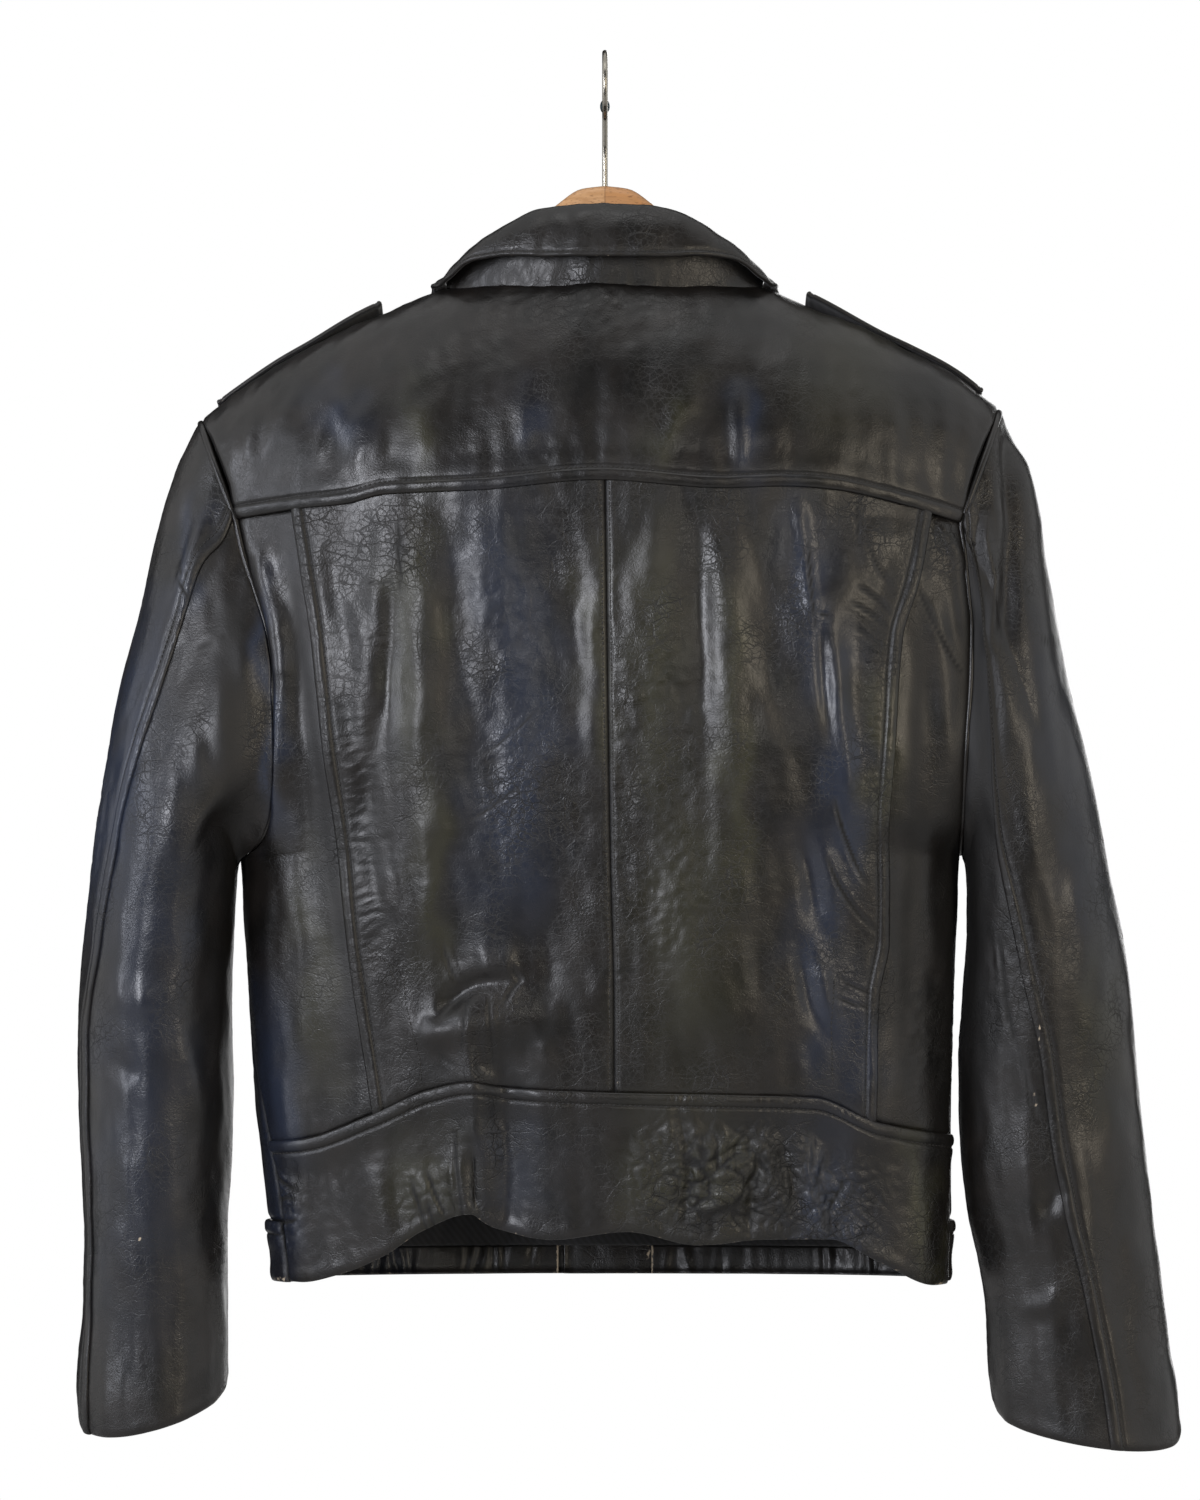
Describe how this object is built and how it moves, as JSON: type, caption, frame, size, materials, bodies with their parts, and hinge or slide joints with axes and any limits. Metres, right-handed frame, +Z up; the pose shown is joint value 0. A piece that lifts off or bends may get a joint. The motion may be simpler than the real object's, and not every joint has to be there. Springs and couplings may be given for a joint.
{
  "type": "leather jacket on a wooden hanger",
  "caption": "Worn black leather jacket with a shaped yoke, pleated back, waistband, shoulder straps and open sleeves, hanging on a wooden hanger with a steel hook.",
  "frame": {"origin": "inside of the bend of the hanger's hook, where a rail carries it", "axes": "+Z up, -Y out of the jacket's back, +X to the wearer's right"},
  "size_m": [0.6659, 0.1801, 0.8446],
  "materials": {
    "black_cowhide": "semi-gloss, worn, near-black brown",
    "lining_cloth": "smooth black lining",
    "beech_wood": "clear lacquer",
    "plated_steel": "nickel plated, slightly yellowed",
    "dark_tip": "satin"
  },
  "bodies": {
    "root": {"yoke": "black_cowhide", "back_panel_left": "black_cowhide", "back_panel_right": "black_cowhide", "back_side_left": "black_cowhide", "back_side_right": "black_cowhide", "waistband_back": "black_cowhide", "sleeve_left_top": "black_cowhide", "sleeve_left_under": "black_cowhide", "sleeve_right_top": "black_cowhide", "sleeve_right_under": "black_cowhide", "collar_stand": "black_cowhide", "collar_fall": "black_cowhide", "epaulette_left": "black_cowhide", "epaulette_right": "black_cowhide", "front_left": "black_cowhide", "front_right": "black_cowhide", "front_band_left": "black_cowhide", "front_band_right": "black_cowhide", "front_facing_left": "black_cowhide", "front_facing_right": "black_cowhide", "front_lining": "lining_cloth", "hanger_wood": "beech_wood", "hook_tip": "dark_tip", "hanger_hook": "plated_steel", "strap_stud_left": "plated_steel", "strap_stud_right": "plated_steel", "stud_1": "plated_steel", "stud_2": "plated_steel", "stud_3": "plated_steel", "stud_4": "plated_steel", "stud_5": "plated_steel"}
  },
  "joints": []
}
